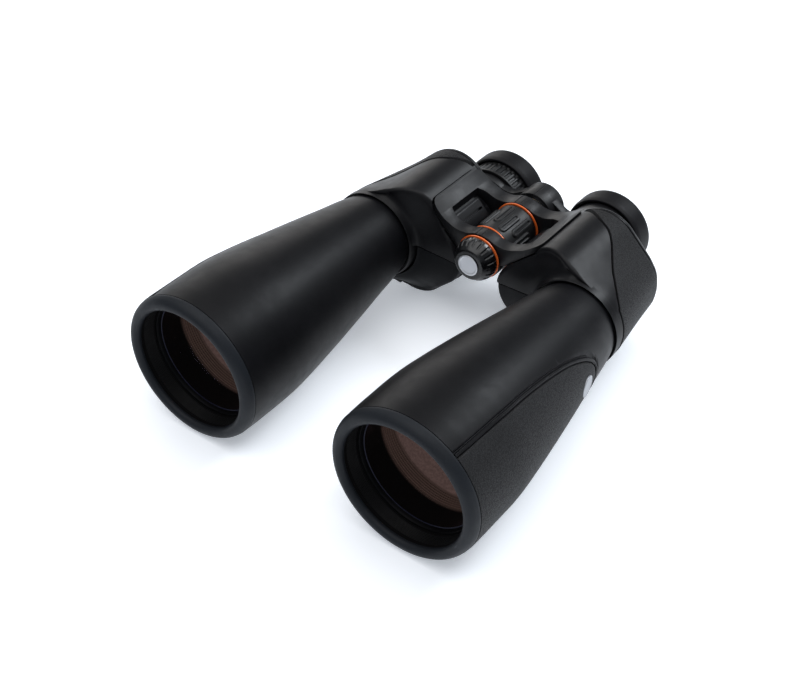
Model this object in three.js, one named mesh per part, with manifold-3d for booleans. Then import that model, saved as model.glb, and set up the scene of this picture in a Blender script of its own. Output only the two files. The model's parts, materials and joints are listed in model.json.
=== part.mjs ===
// Large Porro-prism astronomy binoculars: two objective barrels, two prism housings, a folding
// centre hinge with the focus wheel on its axle, and two eyepieces on a sliding bridge.
//
// Millimetres, +Z up. The objectives look along -Y and the eyepieces point to +Y. The origin is the
// centre of the base. Left and right are the user's, who looks along -Y: left is +X, right is -X.
// Pieces are drawn in optical coordinates (y = 0 at the front rims' inner edge, z = 0 at the
// objective axes), and the outer group moves them to the base.

import * as THREE from 'three';
import { ConvexGeometry } from 'three/addons/geometries/ConvexGeometry.js';
import { mergeVertices } from 'three/addons/utils/BufferGeometryUtils.js';
import Module from 'manifold-3d';

const wasm = await Module();
wasm.setup();

// ---------------------------------------------------------------- driving dimensions

const GAP = 0.3;                       // air between neighbouring pieces
const BARREL_SIDES = 24;               // facets round the objective barrels
const SMALL_SIDES = 20;                // facets round the eyepieces and the hinge

const OBJECTIVE_X = 69.8;              // objective axis from the middle plane
const EYE_X = 37.1;                    // eyepiece axis from the middle plane, fully open
const EYE_Z = -4;
const HINGE_Z = 9.6;                   // hinge axis above the objective axes

const FRONT_Y = -2;                    // front of the rims
const REAR_Y = 260.5;                  // rear of the eyecups
const BARREL_RADIUS = 43.6;            // widest part of a barrel
const NECK_Y = 159.2;                  // rear end of the barrel armour

// Barrel outline, radius against y: a short cylinder at the front, then a long taper to the neck.
const BARREL_PROFILE = [
  [43.3, 4.7], [BARREL_RADIUS, 14], [BARREL_RADIUS, 32], [41.5, 60], [38.8, 80],
  [35.0, 105], [30.9, 130], [26.2, 157], [25.5, NECK_Y],
];
const ARMOUR_THICKNESS = 2.6;
const TUBE_WALL = 1.8;
const LENS_RADIUS = 35.6;
const LENS_Y = 16;                     // front edge of the objective's rim

// Prism housing: a square with round corners standing on one corner, blended with the barrel neck.
const HOUSING_X = 52;
const HOUSING_Z = -4;
const HOUSING_HALF = 34.5;             // centre to face
const CORNER_RADII = { outer: 29, top: 23, inner: 24, bottom: 23 };
const HOUSING_FRONT = 163;
const HOUSING_SPLIT = 218;             // joint between the housing and its rear cover
const HOUSING_REAR = 221.5;
const FRONT_SLANT = 0.26;              // how far the lower front leans back, per mm of drop
const WALL = 3;
const PANEL_THICKNESS = 1.2;
const COLLAR_BORE = 26.9;
const COLLAR_RADIUS = 28.8;
const NECK_RADIUS = 27.6;              // where the housing meets the collar
const LOBE_CUT_RADIUS = 29.1;          // the front cover stops this far from the objective axis
const PANEL_REAR = 217.4;              // rear edge of the textured skin on the housing

// Hinge knuckles and focusing gear, all on the hinge axis.
const HINGE_SEAM = 0.15;               // half of the slit where the two halves meet on top
const FOLD_HALF_ANGLE = 25.5;          // each half's skin stops this far short of straight down
const FRONT_KNUCKLE = { y0: 168.7, y1: 177.0, bore: 6.3, lug: 11.8, skinIn: 12.1, skin: 14.2 };
const REAR_KNUCKLE = { y0: 209.0, y1: 218.8, bore: 8.5, lug: 11.8, skinIn: 12.1, skin: 14.2 };
const HUB_KNUCKLE = { y0: 224.5, y1: 239.5, bore: 9.9, lug: 11.2, skinIn: 11.6, skin: 13.1 };
const AXLE_RADIUS = 6;
const AXLE_REAR = 232;
const SOCKET = { front: 160.6, depth: 9, bore: 3.2, outer: 4.3 };
const WHEEL = { y0: 177.4, y1: 208.0, core: 13.0, grip: 14.8, ring: 14.6, ringWidth: 1.2 };
const SCREW_RADIUS = 8.2;

// Hinge frame: a C of plate and two arms, wrapped round the focusing window.
const FRAME_OUTER_X = 37.2;
const WINDOW_X = 28.4;
const ARM_SURFACE = [[5, 23.0], [9, 21.0], [14, 20.6], [18, 21.2], [22.5, 22.8], [28.4, 25.4], [37.2, 31.4]];
const ARM_UNDERSIDE = [[37.2, 27.6], [28.4, 20.8], [22.5, 15.4], [18, 11.4], [13, 9.4], [6, 8]];

// Prisms: the light steps from the objective axis to a middle point and on to the eyepiece axis.
const MIDDLE_X = 55.4;
const MIDDLE_Z = -18.4;
const PRISM_LENGTH = 42;
const PRISM_WIDTH = 21;
const SHELF_Y = 193.3;
const SHELF_THICKNESS = 2;
const LIGHT_HOLE_RADIUS = 9;

// Eyepieces.
const GUIDE = { y0: 217.3, y1: 225.2, inner: 14.9, outer: 17 };
const CARRIER = { y0: 230, y1: 235.4, outer: 20.5 };
const OCULAR_RADIUS = 14.5;
const OCULAR_HEAD = 19.4;
const DIOPTRE_RING = { y0: 235.8, y1: 247.4, inner: 19.8, outer: 22.4 };
const CUP_RADIUS = 25.4;
const CUP_FRONT = 246;

// ---------------------------------------------------------------- solids

// A geometry becomes a boolean solid once its seams are welded, empty triangles are dropped and
// its faces point out.
function solid(geometry) {
  const bare = new THREE.BufferGeometry();
  bare.setAttribute('position', geometry.getAttribute('position'));
  bare.setIndex(geometry.getIndex());
  const welded = mergeVertices(bare, 1e-4);
  const place = welded.getAttribute('position');
  const index = welded.getIndex().array;
  const a = new THREE.Vector3();
  const b = new THREE.Vector3();
  const c = new THREE.Vector3();
  const triangles = [];
  let volume = 0;
  for (let i = 0; i < index.length; i += 3) {
    const [p, q, r] = [index[i], index[i + 1], index[i + 2]];
    if (p === q || q === r || r === p) continue;
    triangles.push([p, q, r]);
    a.fromBufferAttribute(place, p);
    b.fromBufferAttribute(place, q);
    c.fromBufferAttribute(place, r);
    volume += a.dot(b.cross(c));
  }
  const facing = volume < 0 ? ([p, q, r]) => [p, r, q] : (triangle) => triangle;
  return new wasm.Manifold(new wasm.Mesh({
    numProp: 3,
    vertProperties: new Float32Array(place.array),
    triVerts: new Uint32Array(triangles.flatMap(facing)),
  }));
}

function geometryOf(manifold) {
  const mesh = manifold.getMesh();
  const geometry = new THREE.BufferGeometry();
  geometry.setAttribute('position', new THREE.BufferAttribute(new Float32Array(mesh.vertProperties), 3));
  geometry.setIndex(new THREE.BufferAttribute(new Uint32Array(mesh.triVerts), 1));
  return geometry;
}

function mirroredInX(geometry) {
  const copy = geometry.clone();
  copy.scale(-1, 1, 1);
  const index = copy.getIndex();
  for (let i = 0; i < index.count; i += 3) {
    const second = index.getX(i + 1);
    index.setX(i + 1, index.getX(i + 2));
    index.setX(i + 2, second);
  }
  return copy;
}

// A profile of [radius, y] turned about an axis parallel to Y. The facets' middles lie on the
// true radius, and one facet faces straight down.
function turned(profile, sides, x, z) {
  const swell = 1 / Math.cos(Math.PI / sides);
  const onAxis = profile[0][0] === 0;
  const outline = onAxis ? profile : [...profile, profile[0]];
  const points = outline.map(([radius, y]) => new THREE.Vector2(radius * swell, y));
  const geometry = new THREE.LatheGeometry(points, sides, Math.PI / sides);
  geometry.translate(x, 0, z);
  return solid(geometry);
}

const onObjective = (profile) => turned(profile, BARREL_SIDES, OBJECTIVE_X, 0);
const onEyepiece = (profile) => turned(profile, SMALL_SIDES, EYE_X, EYE_Z);
const onHinge = (profile) => turned(profile, SMALL_SIDES, 0, HINGE_Z);

const disc = (radius, y0, y1) => [[0, y0], [radius, y0], [radius, y1], [0, y1]];
const ring = (inner, outer, y0, y1) => [[inner, y0], [outer, y0], [outer, y1], [inner, y1]];

// An outline of [a, b] points pushed from c0 to c1 along the third direction of a basis.
function extruded(outline, c0, c1, basis) {
  const shape = new THREE.Shape(outline.map(([a, b]) => new THREE.Vector2(a, b)));
  const geometry = new THREE.ExtrudeGeometry(shape, { depth: c1 - c0, bevelEnabled: false });
  geometry.translate(0, 0, c0);
  geometry.applyMatrix4(basis);
  return solid(geometry);
}

const axes = (a, b, c) => new THREE.Matrix4().makeBasis(
  new THREE.Vector3(...a), new THREE.Vector3(...b), new THREE.Vector3(...c));
const PLAN = axes([1, 0, 0], [0, 1, 0], [0, 0, 1]);         // outline in x, y
const SIDE = axes([0, 1, 0], [0, 0, 1], [1, 0, 0]);         // outline in y, z
const ACROSS = axes([1, 0, 0], [0, 0, 1], [0, -1, 0]);      // outline in x, z

const acrossY = (outline, y0, y1) => extruded(outline, -y1, -y0, ACROSS);
const rectangle = (a0, a1, b0, b1) => [[a0, b0], [a1, b0], [a1, b1], [a0, b1]];

// ---------------------------------------------------------------- objective barrel

const grown = (profile, by) => profile.map(([radius, y]) => [radius + by, y]);

function barrelRadius(y) {
  for (let i = 1; i < BARREL_PROFILE.length; i += 1) {
    const [r0, y0] = BARREL_PROFILE[i - 1];
    const [r1, y1] = BARREL_PROFILE[i];
    if (y <= y1) return r0 + (r1 - r0) * (y - y0) / (y1 - y0);
  }
  return BARREL_PROFILE.at(-1)[0];
}

// The grip panel's side view: a pointed arch with a round tip, open towards the rim.
function gripOutline(margin) {
  const halfHeights = [[4.7, 33.4], [24, 33.2], [44, 32.2], [64, 29.8], [85, 25.9], [103, 21.4],
    [116, 16.4], [124, 11.6], [128.6, 6.4], [130.4, 0]];
  const upper = halfHeights.map(([y, z]) => [y + (z === 0 ? margin : 0), z + margin]);
  upper[0][0] -= 2 * margin;
  const tip = upper.pop();
  const lower = upper.map(([y, z]) => [y, -z]).reverse();
  return [...upper, [tip[0], 0], ...lower];
}

const BADGE_Y = 118.5;
const BADGE_RADIUS = 6.2;
const BADGE_SIDES = 20;
const BADGE_LIFT = 0.4;

function badgeDisc(radius, from, to) {
  const geometry = new THREE.CylinderGeometry(radius, radius, to - from, BADGE_SIDES);
  geometry.rotateZ(Math.PI / 2);
  geometry.translate((from + to) / 2, 0, 0);
  const slope = (barrelRadius(BADGE_Y - 6) - barrelRadius(BADGE_Y + 6)) / 12;
  geometry.rotateZ(Math.atan(slope));
  geometry.translate(OBJECTIVE_X + barrelRadius(BADGE_Y), BADGE_Y, 0);
  return solid(geometry);
}

const barrelCore = (depth) => onObjective([[0, 0], ...grown(BARREL_PROFILE, -depth), [0, 170]]);

function barrelSkin(depth) {
  return onObjective([...grown(BARREL_PROFILE, 0), ...grown(BARREL_PROFILE, -depth).reverse()]);
}

function gripPrism(margin) {
  return extruded(gripOutline(margin), OBJECTIVE_X + 5, OBJECTIVE_X + 60, SIDE);
}

function barrelArmour() {
  const pocket = gripPrism(GAP).subtract(barrelCore(PANEL_THICKNESS + GAP));
  return barrelSkin(ARMOUR_THICKNESS).subtract(pocket);
}

function barrelGripPanel() {
  const panel = barrelSkin(PANEL_THICKNESS).intersect(gripPrism(0));
  return panel.subtract(badgeDisc(BADGE_RADIUS + GAP, -4, 4));
}

function barrelBadge() {
  return badgeDisc(BADGE_RADIUS, BADGE_LIFT - 1.1, BADGE_LIFT);
}

// The rim hooks over the front edge of the tube.
const HOOK_RADIUS = 37.3;
const HOOK_DEPTH = 1.8;

function rimBumper() {
  return onObjective([[36, 0.4], [36.8, -1.1], [38.4, FRONT_Y], [40.6, -1.6], [42.4, 0.2],
    [43.3, 3], [43.3, 4.4], [HOOK_RADIUS, 4.4], [HOOK_RADIUS, HOOK_DEPTH], [36, HOOK_DEPTH]]);
}

// The tube inside the armour is a plain cone between three stations of the barrel outline. Its
// thick front end is the lens cell, and a thin sleeve runs on from that under the rim's hook.
const TUBE_FRONT = 4.7;
const TUBE_REAR = 168;
const CELL_RADIUS = 36.3;
const CELL_REAR = 34;
const TUBE_STATIONS = [2, 4, 8].map((i) => BARREL_PROFILE[i]);
const TUBE_OUTER = grown(TUBE_STATIONS, -ARMOUR_THICKNESS - GAP);
const TUBE_INNER = grown(TUBE_OUTER, -TUBE_WALL).slice(1);

function objectiveTube() {
  const neck = TUBE_OUTER.at(-1)[0];
  return onObjective([
    [HOOK_RADIUS - GAP, HOOK_DEPTH + GAP], [HOOK_RADIUS - GAP, TUBE_FRONT],
    [TUBE_OUTER[0][0], TUBE_FRONT], ...TUBE_OUTER, [neck, TUBE_REAR],
    [neck - TUBE_WALL, TUBE_REAR], ...[...TUBE_INNER].reverse(),
    [CELL_RADIUS, CELL_REAR], [CELL_RADIUS, HOOK_DEPTH + GAP],
  ]);
}

const lensRing = () => onObjective(ring(33.6, 36, 12.2, 15.2));

// A biconvex lens: both faces are arcs, given by their rise at the centre.
function lensProfile(radius, edgeFront, edgeRear, riseFront, riseRear, steps) {
  const front = [];
  const rear = [];
  for (let i = 0; i <= steps; i += 1) {
    const share = i / steps;
    front.push([radius * share, edgeFront - riseFront * (1 - share * share)]);
    rear.push([radius * share, edgeRear + riseRear * (1 - share * share)]);
  }
  return [...front, ...rear.reverse()];
}

const objectiveLens = () => onObjective(lensProfile(LENS_RADIUS, LENS_Y, LENS_Y + 7, 3.6, 2.4, 3));

const BAFFLE_WALL = 1;

function baffleTube() {
  const outer = grown(TUBE_INNER, -GAP);
  return onObjective([...outer, ...grown(outer, -BAFFLE_WALL).reverse()]);
}

// ---------------------------------------------------------------- prism housing

function roundedDiamond(inset, stepsPerCorner) {
  const points = [];
  const corners = [['outer', 0], ['top', 90], ['inner', 180], ['bottom', 270]];
  for (const [name, middle] of corners) {
    const radius = CORNER_RADII[name];
    const reach = (HOUSING_HALF - radius) * Math.SQRT2;
    const direction = THREE.MathUtils.degToRad(middle);
    const cx = HOUSING_X + reach * Math.cos(direction);
    const cz = HOUSING_Z + reach * Math.sin(direction);
    for (let i = 0; i <= stepsPerCorner; i += 1) {
      const angle = THREE.MathUtils.degToRad(middle - 45 + 90 * i / stepsPerCorner);
      points.push([cx + (radius - inset) * Math.cos(angle), cz + (radius - inset) * Math.sin(angle)]);
    }
  }
  return points;
}

// One section of the housing: the diamond and a circle round the objective axis, which shrinks
// rearwards. The lower front leans back.
function housingSection(y, neckRadius, inset, slant) {
  const outline = roundedDiamond(inset, 3);
  const steps = 16;
  for (let i = 0; i < steps; i += 1) {
    const angle = 2 * Math.PI * i / steps;
    const radius = neckRadius - inset;
    outline.push([OBJECTIVE_X + radius * Math.cos(angle), radius * Math.sin(angle)]);
  }
  return outline.map(([x, z]) => new THREE.Vector3(x, y + slant * Math.max(0, -z), z));
}

function housingHull(inset, frontInset, rear) {
  const round = 3;
  return solid(new ConvexGeometry([
    ...housingSection(HOUSING_FRONT + frontInset, NECK_RADIUS, inset + round, FRONT_SLANT),
    ...housingSection(HOUSING_FRONT + frontInset + round + 0.5, NECK_RADIUS - 0.6, inset, FRONT_SLANT),
    ...housingSection(rear - 1.2, 18.5, inset, 0),
    ...housingSection(rear, 18.4, inset + 1.2, 0),
  ]));
}

const beyondRear = HOUSING_REAR + 12;
const housingBody = () => housingHull(0, 0, HOUSING_REAR);
const cavity = () => housingHull(WALL, WALL, beyondRear);
const slab = (y0, y1) => acrossY(rectangle(0, 130, -70, 70), y0, y1);

// The textured skin on the outer rear of the housing. Its front edge runs from the top rear corner
// down and forwards to the barrel neck, drawn square to the upper outer face.
function outerRegion(margin) {
  const edge = [[-34.4, 218], [-27, 209.5], [-19, 204.5], [-11.6, 197], [-0.7, 182.4], [8, 172.6],
    [14, 168.2], [20, 167.4]];
  const outline = [
    [-34.4 - margin, HOUSING_REAR + 4],
    ...edge.map(([t, y]) => [t - margin, y - margin]),
    [60, 167.4 - margin], [60, HOUSING_REAR + 4],
  ];
  const half = Math.SQRT1_2;
  const basis = axes([half, 0, -half], [0, 1, 0], [half, 0, half]);
  basis.setPosition(HOUSING_X, 0, HOUSING_Z);
  return extruded(outline, -12 - margin, 60, basis);
}

const panelSpace = (depth, margin) => outerRegion(margin).subtract(housingHull(depth, -4, beyondRear));

function housingGripPanel() {
  const besideFrame = acrossY(rectangle(0, FRAME_OUTER_X + 1, -70, 70), 200, PANEL_REAR + 1);
  return panelSpace(PANEL_THICKNESS, 0).intersect(housingBody()).intersect(slab(160, PANEL_REAR))
    .subtract(besideFrame).subtract(frameSeat());
}

const panelPocket = () => panelSpace(PANEL_THICKNESS + GAP, GAP);

// The lower front is a separate cover, from the inner lobe round under the collar.
const LOBE_REAR = 177;
const LOBE_OUTER_X = 60;

function lobeRegion(margin) {
  const side = LOBE_OUTER_X + margin;
  const outline = [[6, -2 + margin], [13, -2 + margin], [48, 3 + margin], [side, 3 + margin],
    [side, -60], [6, -60]];
  const block = acrossY(outline, 150, LOBE_REAR + margin);
  return block.subtract(onObjective(disc(LOBE_CUT_RADIUS + GAP - margin, 140, 190)));
}

function housingShell() {
  const collar = onObjective([[20, 158.4], [NECK_RADIUS, 158.1], [28.4, 159], [COLLAR_RADIUS, 163.8],
    [27.2, 166.5], [20, 166.5]]);
  const collarBore = onObjective(disc(COLLAR_BORE, 150, 160.4));
  const tubeBore = onObjective(disc(23.0, 150, 175));
  return housingBody().add(collar).subtract(cavity()).subtract(collarBore).subtract(tubeBore);
}

// The hinge frame's seat in the housing.
function frameSeat() {
  const profile = [
    ...ARM_SURFACE.map(([x, z]) => [x, z + 12]),
    ...ARM_UNDERSIDE.map(([x, z]) => [x, z - GAP]),
  ];
  return acrossY(profile, 150, 240).intersect(extruded(framePlan(GAP), -40, 90, PLAN));
}

// A raised pad beside the focus wheel, on the upper inner face. Its groove is open to the front.
function windowPad() {
  const half = Math.SQRT1_2;
  const basis = axes([0, 1, 0], [half, 0, half], [-half, 0, half]);
  basis.setPosition(HOUSING_X, 0, HOUSING_Z);
  const pad = extruded(rectangle(178.5, 203, -13, -1.2), HOUSING_HALF - 2, HOUSING_HALF + 2.4, basis);
  return pad.subtract(extruded(rectangle(170, 197, -8.2, -6), HOUSING_HALF + 1, HOUSING_HALF + 9, basis));
}

function prismHousing() {
  return housingShell().add(windowPad()).intersect(slab(150, HOUSING_SPLIT))
    .subtract(lobeRegion(GAP)).subtract(panelPocket()).subtract(frameSeat());
}

const frontPrismCover = () => housingShell().intersect(lobeRegion(0));

function rearCover() {
  return housingBody().intersect(slab(HOUSING_SPLIT + GAP, HOUSING_REAR + 1)).subtract(frameSeat())
    .subtract(onEyepiece(disc(GUIDE.outer + GAP, 200, 240)));
}

function prismShelf() {
  const plate = acrossY(roundedDiamond(WALL + 0.8, 3), SHELF_Y, SHELF_Y + SHELF_THICKNESS);
  const lightHoles = [[OBJECTIVE_X, 0], [MIDDLE_X, MIDDLE_Z], [EYE_X, EYE_Z]];
  return lightHoles.reduce(
    (left, [x, z]) => left.subtract(turned(disc(LIGHT_HOLE_RADIUS, 180, 210), 12, x, z)), plate);
}

// A right-angle prism whose long face spans two light axes. Its roof edge lies ahead of the long
// face or behind it.
function prism([x0, z0], [x1, z1], faceY, towards) {
  const half = PRISM_LENGTH / 2;
  const along = new THREE.Vector3(x1 - x0, 0, z1 - z0).normalize();
  const back = new THREE.Vector3(0, towards, 0);
  const width = new THREE.Vector3().crossVectors(along, back);
  const basis = new THREE.Matrix4().makeBasis(along, back, width);
  basis.setPosition((x0 + x1) / 2, faceY, (z0 + z1) / 2);
  return extruded([[-half, 0], [half, 0], [0, half]], -PRISM_WIDTH / 2, PRISM_WIDTH / 2, basis);
}

const rearPrism = () => prism([OBJECTIVE_X, 0], [MIDDLE_X, MIDDLE_Z], SHELF_Y + SHELF_THICKNESS + GAP, 1);
const frontPrism = () => prism([MIDDLE_X, MIDDLE_Z], [EYE_X, EYE_Z], SHELF_Y - GAP, -1);

// ---------------------------------------------------------------- folding hinge

function framePlan(margin) {
  const { y0 } = FRONT_KNUCKLE;
  const { y1 } = REAR_KNUCKLE;
  const outer = FRAME_OUTER_X + margin;
  const window = WINDOW_X - margin;
  return [
    [HINGE_SEAM, y0 - margin], [27, y0 - margin], [31.5, y0 + 1.2 - margin], [35, y0 + 3.8 - margin],
    [outer, y0 + 7.5], [outer, y1 - 5], [36 + margin, y1 - 2], [33, y1 + margin], [HINGE_SEAM, y1 + margin],
    [HINGE_SEAM, REAR_KNUCKLE.y0 - margin], [26, REAR_KNUCKLE.y0 - margin],
    [window, REAR_KNUCKLE.y0 - 2.4 - margin], [window, FRONT_KNUCKLE.y1 + 3.4 + margin],
    [26, FRONT_KNUCKLE.y1 + 1 + margin],
    [18, FRONT_KNUCKLE.y1 + margin], [HINGE_SEAM, FRONT_KNUCKLE.y1 + margin],
  ];
}

// A knuckle joins a web to the hinge axis. One half's lug fills one end of the knuckle, and a skin
// over its own side of the axis covers the other half's lug at the other end.
function knuckled(web, knuckle, lugAtFront) {
  const { y0, y1, bore, lug, skinIn, skin } = knuckle;
  const middle = (y0 + y1) / 2;
  const own = lugAtFront ? [y0, middle - GAP / 2] : [middle + GAP / 2, y1];
  const other = lugAtFront ? [middle - GAP / 2, y1 + 1] : [y0 - 1, middle + GAP / 2];
  const stop = THREE.MathUtils.degToRad(90 - FOLD_HALF_ANGLE);
  const reach = 60;
  const wedge = acrossY([[HINGE_SEAM, HINGE_Z], [HINGE_SEAM, HINGE_Z + reach], [reach, HINGE_Z + reach],
    [reach, HINGE_Z - reach * Math.tan(stop)]], y0 - 1, y1 + 1);
  return web.add(onHinge(disc(skin, y0, y1)).intersect(wedge))
    .subtract(onHinge(disc(skinIn, ...other)))
    .add(onHinge(disc(lug, ...own)))
    .subtract(onHinge(disc(bore, y0 - 10, y1 + 10)));
}

function hingeFrame(lugAtFront) {
  const profile = [...ARM_SURFACE, ...ARM_UNDERSIDE];
  const frame = acrossY(profile, 160, 230).intersect(extruded(framePlan(0), -40, 90, PLAN));
  return knuckled(knuckled(frame, FRONT_KNUCKLE, lugAtFront), REAR_KNUCKLE, lugAtFront);
}

function hingeAxle() {
  const bore = SOCKET.outer + GAP;
  const floor = SOCKET.front + SOCKET.depth + GAP;
  return onHinge([[0, floor], [bore, floor], [bore, SOCKET.front], [AXLE_RADIUS, SOCKET.front],
    [AXLE_RADIUS, AXLE_REAR], [0, AXLE_REAR]]);
}

const tripodSocket = () => onHinge(
  ring(SOCKET.bore, SOCKET.outer, SOCKET.front, SOCKET.front + SOCKET.depth));
const tripodCap = () => onHinge([[0, 157], [9.4, 157], [10.3, 158.2], [12, 160.8], [13, 163.4],
  [13.3, 166.3], [6.4, 166.3], [6.4, 159.8], [0, 159.8]]);
const tripodCapRing = () => onHinge(ring(6.4, 13.8, 166.6, 168.3));
const tripodCapDisc = () => onHinge(disc(6.6, 156.2, 156.7));

// ---------------------------------------------------------------- focusing gear

const wheelCore = () => onHinge(ring(AXLE_RADIUS + GAP, WHEEL.core, WHEEL.y0, WHEEL.y1 - GAP));
const wheelGrip = () => onHinge(
  ring(WHEEL.core + GAP, WHEEL.grip, WHEEL.y0 + WHEEL.ringWidth + GAP, WHEEL.y1 - WHEEL.ringWidth - GAP));
const wheelRing = (y0) => onHinge(ring(WHEEL.core + GAP, WHEEL.ring, y0, y0 + WHEEL.ringWidth));
const focusScrew = () => onHinge(ring(AXLE_RADIUS + GAP, SCREW_RADIUS, WHEEL.y1, 233.5));
const focusNut = () => onHinge(ring(SCREW_RADIUS + GAP, HUB_KNUCKLE.bore - GAP, 226, 238.2));
const hubEndCap = () => onHinge([[0, 238.8], [9.3, 238.8], [9.3, 239.8], [10.8, 239.8], [10.8, 241],
  [9.8, 241.6], [0, 241.6]]);

// ---------------------------------------------------------------- eyepieces

const eyepieceGuide = () => onEyepiece(ring(GUIDE.inner, GUIDE.outer, GUIDE.y0, GUIDE.y1));

function eyepieceArm(lugAtFront) {
  const web = [[5, 21.2], [11, 17.5], [19, 12.5], [27, 13.6], [34, 15.6], [34, -22], [24, -17], [15, -8],
    [10, -3.5], [6.8, -2]];
  const carrier = onEyepiece(disc(CARRIER.outer, CARRIER.y0, CARRIER.y1));
  const link = acrossY(web, CARRIER.y0, CARRIER.y1).add(carrier);
  return knuckled(link, HUB_KNUCKLE, lugAtFront)
    .subtract(onEyepiece(disc(GUIDE.inner, CARRIER.y0 - 1, CARRIER.y1 + 1)));
}

const LENS_SEAT = 248.2;

function ocularBody() {
  return onEyepiece([[12, 217.8], [OCULAR_RADIUS, 217.8], [OCULAR_RADIUS, 238.3], [OCULAR_HEAD, 238.3],
    [OCULAR_HEAD, 247], [17.4, 247], [17.4, 256.6], [13.2, 256.6], [13.2, LENS_SEAT], [12, LENS_SEAT]]);
}

const eyeLens = () => onEyepiece(lensProfile(12.9, LENS_SEAT + 1.6, LENS_SEAT + 3.6, 1.2, 1.6, 2));
const cupSleeve = () => onEyepiece(ring(19.6, 21.4, 249.6, 256.6));
const cupInner = 17.8;

function eyecup() {
  return onEyepiece([[24.9, CUP_FRONT], [CUP_RADIUS, 258], [24.9, 259.8], [23.6, REAR_Y], [cupInner, REAR_Y],
    [cupInner, 249], [19.2, 249], [19.2, 257], [23.4, 257], [23.4, CUP_FRONT]]);
}

const collarRing = () => onEyepiece(
  ring(DIOPTRE_RING.inner, DIOPTRE_RING.outer, DIOPTRE_RING.y0, DIOPTRE_RING.y1));

// ---------------------------------------------------------------- assembly

const FINISHES = {
  armour: [0x1d1e20, 0.62, 0],
  rim: [0x2c2f33, 0.66, 0],
  textured: [0x2a2b2e, 0.85, 0],
  cover: [0x1c1d20, 0.5, 0],
  frame: [0x242427, 0.55, 0.1],
  blackMetal: [0x151517, 0.45, 0.6],
  steel: [0x9a9c9f, 0.3, 1],
  brass: [0xb08d4a, 0.35, 1],
  silver: [0xd9dbde, 0.3, 0.8],
  orange: [0xf07c34, 0.35, 0.1],
  gloss: [0x0d0d0f, 0.2, 0],
  glass: [0x2b2430, 0.05, 0],
  grip: [0x1f2022, 0.8, 0],
};

const model = new THREE.Group();
model.position.set(0, -(FRONT_Y + REAR_Y) / 2, BARREL_RADIUS);

function addPiece(name, geometry, finish) {
  const [color, roughness, metalness] = FINISHES[finish];
  const mesh = new THREE.Mesh(geometry, new THREE.MeshStandardMaterial({ color, roughness, metalness }));
  mesh.name = name;
  model.add(mesh);
}

// Pieces that both halves have, drawn on the left and mirrored to the right.
const PAIRED = {
  rim_bumper: [rimBumper, 'rim'],
  barrel_armour: [barrelArmour, 'armour'],
  barrel_grip_panel: [barrelGripPanel, 'textured'],
  barrel_badge: [barrelBadge, 'silver'],
  objective_tube: [objectiveTube, 'blackMetal'],
  lens_ring: [lensRing, 'blackMetal'],
  objective_lens: [objectiveLens, 'glass'],
  baffle_tube: [baffleTube, 'blackMetal'],
  prism_housing: [prismHousing, 'armour'],
  front_prism_cover: [frontPrismCover, 'cover'],
  rear_cover: [rearCover, 'cover'],
  housing_grip_panel: [housingGripPanel, 'textured'],
  prism_shelf: [prismShelf, 'blackMetal'],
  front_prism: [frontPrism, 'glass'],
  rear_prism: [rearPrism, 'glass'],
  eyepiece_guide: [eyepieceGuide, 'blackMetal'],
  ocular_body: [ocularBody, 'blackMetal'],
  eye_lens: [eyeLens, 'glass'],
  cup_sleeve: [cupSleeve, 'blackMetal'],
  eyecup: [eyecup, 'grip'],
};

for (const [name, [make, finish]] of Object.entries(PAIRED)) {
  const left = geometryOf(make());
  addPiece(`left_${name}`, left, finish);
  addPiece(`right_${name}`, mirroredInX(left), finish);
}

addPiece('left_hinge_frame', geometryOf(hingeFrame(true)), 'frame');
addPiece('right_hinge_frame', mirroredInX(geometryOf(hingeFrame(false))), 'frame');
addPiece('left_eyepiece_arm', geometryOf(eyepieceArm(true)), 'frame');
addPiece('right_eyepiece_arm', mirroredInX(geometryOf(eyepieceArm(false))), 'frame');
addPiece('left_eyepiece_collar', geometryOf(collarRing()), 'blackMetal');
addPiece('right_dioptre_ring', mirroredInX(geometryOf(collarRing())), 'grip');

addPiece('hinge_axle', geometryOf(hingeAxle()), 'steel');
addPiece('tripod_socket', geometryOf(tripodSocket()), 'brass');
addPiece('tripod_cap', geometryOf(tripodCap()), 'gloss');
addPiece('tripod_cap_ring', geometryOf(tripodCapRing()), 'orange');
addPiece('tripod_cap_disc', geometryOf(tripodCapDisc()), 'silver');
addPiece('focus_wheel_core', geometryOf(wheelCore()), 'blackMetal');
addPiece('focus_wheel_grip', geometryOf(wheelGrip()), 'grip');
addPiece('focus_ring_front', geometryOf(wheelRing(WHEEL.y0)), 'orange');
addPiece('focus_ring_rear', geometryOf(wheelRing(WHEEL.y1 - WHEEL.ringWidth)), 'orange');
addPiece('focus_screw', geometryOf(focusScrew()), 'steel');
addPiece('focus_nut', geometryOf(focusNut()), 'brass');
addPiece('hub_end_cap', geometryOf(hubEndCap()), 'gloss');

export default model;
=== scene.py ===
"""Looks of the astronomy binoculars: smooth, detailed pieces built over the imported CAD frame.

Shapes are drawn in millimetres in optical coordinates: y = 0 at the front rims' inner edge, z = 0 at
the objective axes, x = 0 in the middle plane. ORIGIN, which is measured from the CAD nodes, moves
them to the row frame. Paired pieces are drawn on the left (+X) and mirrored to the right.
"""
import json
import math

import bmesh
import bpy
import numpy as np
from mathutils import Matrix, Vector


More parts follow.
